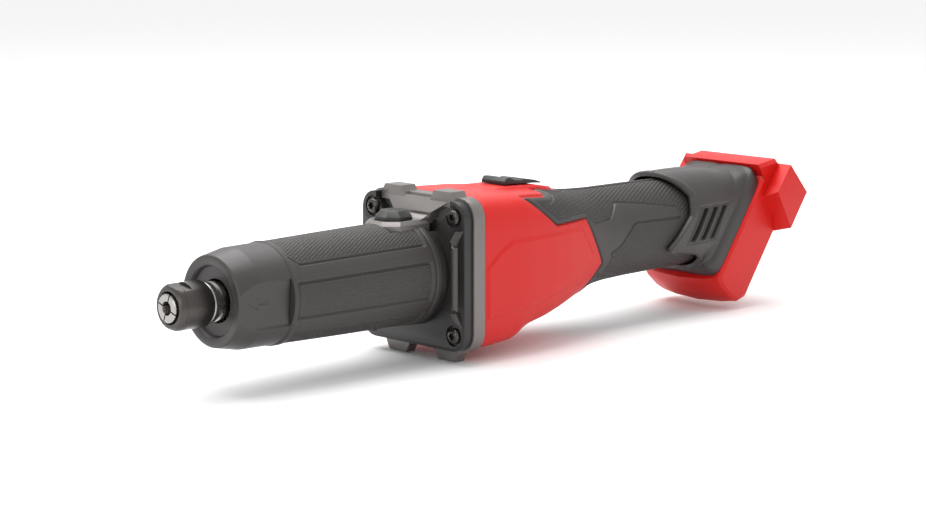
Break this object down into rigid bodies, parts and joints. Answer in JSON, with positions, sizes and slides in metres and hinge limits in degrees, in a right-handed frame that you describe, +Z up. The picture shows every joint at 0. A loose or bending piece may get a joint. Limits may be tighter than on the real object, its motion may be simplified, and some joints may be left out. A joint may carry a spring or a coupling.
{
  "type": "die grinder",
  "caption": "Straight battery-powered die grinder: collet nose, round gripping barrel, square flanged gearcase, slim rubber-covered handle, slanted battery foot.",
  "frame": {"origin": "middle of the outline in plan, on the plane that the lower bumper lugs and the heel of the battery foot rest on", "axes": "+X along the spindle from the collet to the battery foot, +Y to the tool's right, +Z up, away from the plane it rests on"},
  "size_m": [0.4248, 0.0784, 0.0874],
  "materials": {
    "red_plastic": "satin moulded nylon",
    "dark_plastic": "fine-grained moulded nylon",
    "grip_rubber": "moulded rubber with a fine diamond pattern",
    "black_plastic": "satin",
    "cast_metal": "satin die-cast, dark coated",
    "turned_alloy": "turned",
    "bright_steel": "ground",
    "blackened_steel": "blackened",
    "iron": "laminated",
    "copper": "enamelled wire",
    "felt": "felt",
    "circuit_board": "solder mask",
    "potting": "potted"
  },
  "bodies": {
    "tool": {"barrel_grip": "grip_rubber", "battery_contact_1": "copper", "battery_contact_2": "copper", "battery_contact_3": "copper", "battery_contact_4": "copper", "battery_contact_5": "copper", "battery_foot": "red_plastic", "bearing_spacer": "bright_steel", "coil_1": "copper", "coil_2": "copper", "coil_3": "copper", "coil_4": "copper", "coil_5": "copper", "coil_6": "copper", "control_module": "potting", "flange_screw_1": "blackened_steel", "flange_screw_2": "blackened_steel", "flange_screw_3": "blackened_steel", "flange_screw_4": "blackened_steel", "front_flange": "dark_plastic", "gearcase": "cast_metal", "hall_sensor_board": "circuit_board", "handle_grip_left": "grip_rubber", "handle_grip_right": "grip_rubber", "housing_left": "red_plastic", "housing_right": "red_plastic", "housing_screw_1": "blackened_steel", "housing_screw_2": "blackened_steel", "housing_screw_3": "blackened_steel", "housing_screw_4": "blackened_steel", "lock_spring": "bright_steel", "micro_switch": "black_plastic", "motor_bearing_front": "bright_steel", "motor_bearing_rear": "bright_steel", "nose_cap": "dark_plastic", "rear_bearing_cup": "grip_rubber", "shroud_left": "dark_plastic", "shroud_right": "dark_plastic", "spindle_bearing_a": "bright_steel", "spindle_bearing_b": "bright_steel", "spindle_bearing_rear": "bright_steel", "spindle_housing": "turned_alloy", "spindle_seal": "felt", "stator_core": "iron", "stator_insulator_front": "black_plastic", "stator_insulator_rear": "black_plastic", "terminal_block": "black_plastic"},
    "spindle_assembly": {"spindle": "bright_steel", "coupling_sleeve": "bright_steel", "motor_shaft": "bright_steel", "rotor_core": "iron", "fan": "dark_plastic"},
    "collet": {"collet": "bright_steel"},
    "nut": {"collet_nut": "blackened_steel"},
    "lock": {"lock_button": "black_plastic"},
    "switch": {"slide_switch": "black_plastic", "switch_rail": "black_plastic"}
  },
  "joints": [
    {"name": "spindle_spin", "type": "hinge", "parent": "tool", "child": "spindle_assembly", "pos_m": [-0.0651, 0, 0.045], "axis": [1, 0, 0], "continuous": true},
    {"name": "collet_slide", "type": "slide", "parent": "spindle_assembly", "child": "collet", "axis": [-1, 0, 0], "range_m": [0, 0.00151]},
    {"name": "nut_turn", "type": "hinge", "parent": "collet", "child": "nut", "pos_m": [-0.2021, 0, 0.045], "axis": [-1, 0, 0], "range_deg": [0, 540]},
    {"name": "lock_press", "type": "slide", "parent": "tool", "child": "lock", "axis": [0, 0, -1], "range_m": [0, 0.0024], "stiffness_N_per_m": 600, "springref_m": -0.004, "deforming": ["lock_spring"]},
    {"name": "switch_slide", "type": "slide", "parent": "tool", "child": "switch", "axis": [-1, 0, 0], "range_m": [0, 0.005], "stiffness_N_per_m": 200, "springref_m": -0.01}
  ]
}
